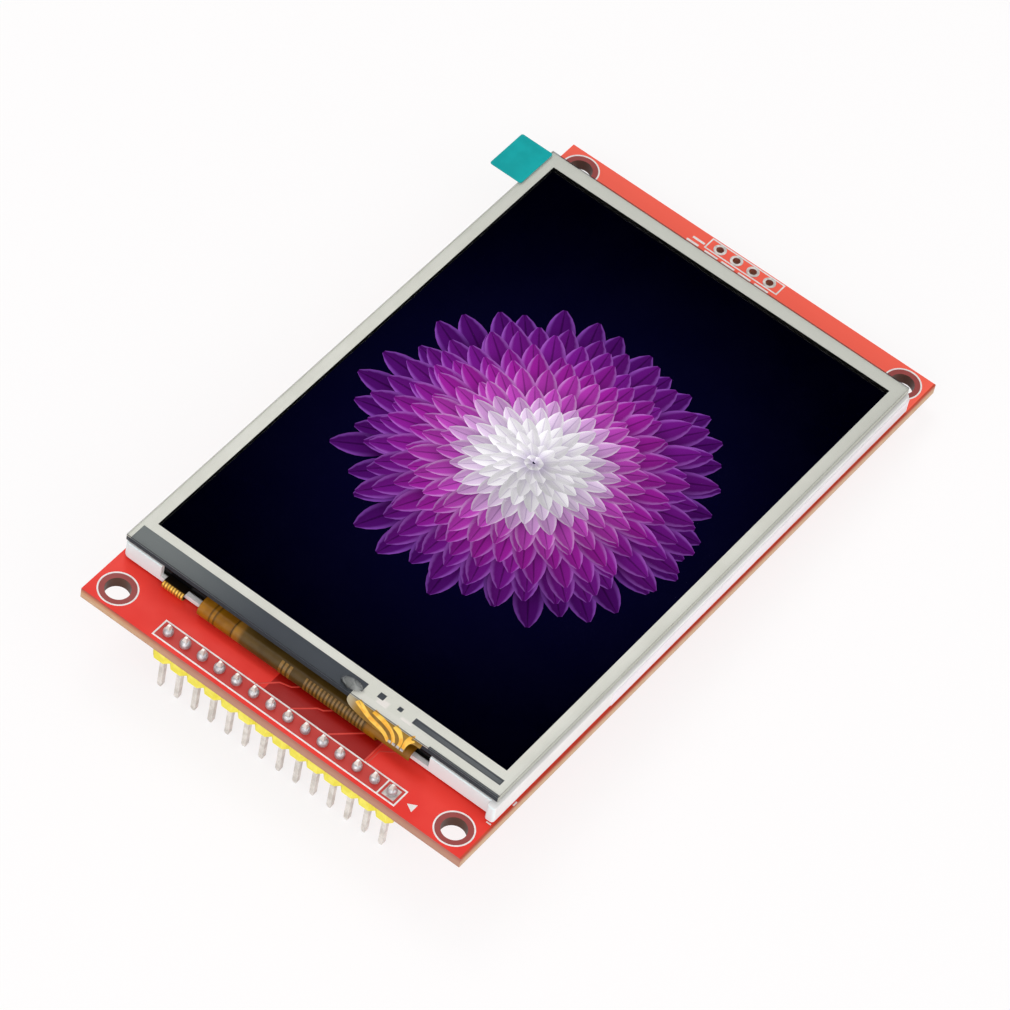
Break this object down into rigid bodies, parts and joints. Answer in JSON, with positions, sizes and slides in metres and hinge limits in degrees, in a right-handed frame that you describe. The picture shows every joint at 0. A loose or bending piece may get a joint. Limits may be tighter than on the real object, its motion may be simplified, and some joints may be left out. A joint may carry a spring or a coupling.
{
  "type": "tft display module",
  "caption": "Touch display module: screen in a white frame on a red board, with a pin header, folded flexes and a rear card socket.",
  "frame": {"origin": "middle of the four mounting holes, on the rear face of the board", "axes": "+X across the board, +Y along the board away from the pin header, +Z out of the screen"},
  "size_m": [0.06, 0.0958, 0.0141],
  "materials": {
    "red_solder_mask": "glossy red solder mask over glass-epoxy laminate",
    "white_print": "matt white screen print",
    "tinned_copper": "bright square tinned pad",
    "solder": "shiny solder",
    "plated_pins": "tin-plated square wire",
    "yellow_plastic": "satin yellow moulding",
    "foam_tape": "black foam adhesive tape",
    "white_moulding": "satin white moulding",
    "reflector": "white mirror film",
    "clear_acrylic": "clear acrylic",
    "film": "frosted film",
    "lamp_white": "white lamp packages with a yellow window",
    "amber_flex": "amber polyimide film",
    "black_film": "black film",
    "polariser": "dark polarising film",
    "screen_face": "near-black polariser over a lit picture",
    "cell_glass": "clear glass",
    "silicon": "polished silicon",
    "panel_tape": "dark double-sided tape",
    "grey_print": "light grey printed border",
    "clear_film": "clear hard-coated film",
    "touch_flex": "clear film with golden tracks",
    "teal_tab": "teal tab tape",
    "stainless_steel": "bright stamped stainless steel",
    "black_plastic": "black glass-filled moulding",
    "gold_contacts": "gold-plated spring strip",
    "resistor_black": "glazed black resistor body",
    "capacitor_tan": "tan fired capacitor body"
  },
  "bodies": {
    "root": {"array_glass": "cell_glass", "backlight_frame": "white_moulding", "backlight_lamps": "lamp_white", "backlight_transistor": "black_plastic", "backlight_transistor_leads": "tinned_copper", "card_contacts": "gold_contacts", "card_header_pads": "tinned_copper", "card_socket_base": "black_plastic", "card_socket_shell": "stainless_steel", "chip_capacitors": "capacitor_tan", "chip_end_caps": "tinned_copper", "chip_resistors": "resistor_black", "circuit_board": "red_solder_mask", "colour_filter_glass": "cell_glass", "diffuser_sheet": "film", "display_driver_chip": "silicon", "first_pin_pad": "tinned_copper", "flex_solder_joints": "solder", "front_polariser": "screen_face", "header_body": "yellow_plastic", "header_pins": "plated_pins", "header_solder": "solder", "lamp_strip_flex": "amber_flex", "ledge_tape": "black_film", "light_guide": "clear_acrylic", "lower_prism_sheet": "film", "main_flex": "amber_flex", "mounting_tapes": "foam_tape", "panel_adhesive": "panel_tape", "protective_film": "clear_film", "pull_tab": "teal_tab", "rear_polariser": "polariser", "reflector_sheet": "reflector", "regulator": "black_plastic", "regulator_leads": "tinned_copper", "rim_tape": "black_film", "touch_controller": "black_plastic", "touch_controller_leads": "tinned_copper", "touch_film": "clear_film", "touch_flex": "touch_flex", "touch_flex_solder": "solder", "touch_glass": "cell_glass", "touch_spacer": "grey_print", "upper_prism_sheet": "film", "white_ink": "white_print"}
  },
  "joints": []
}
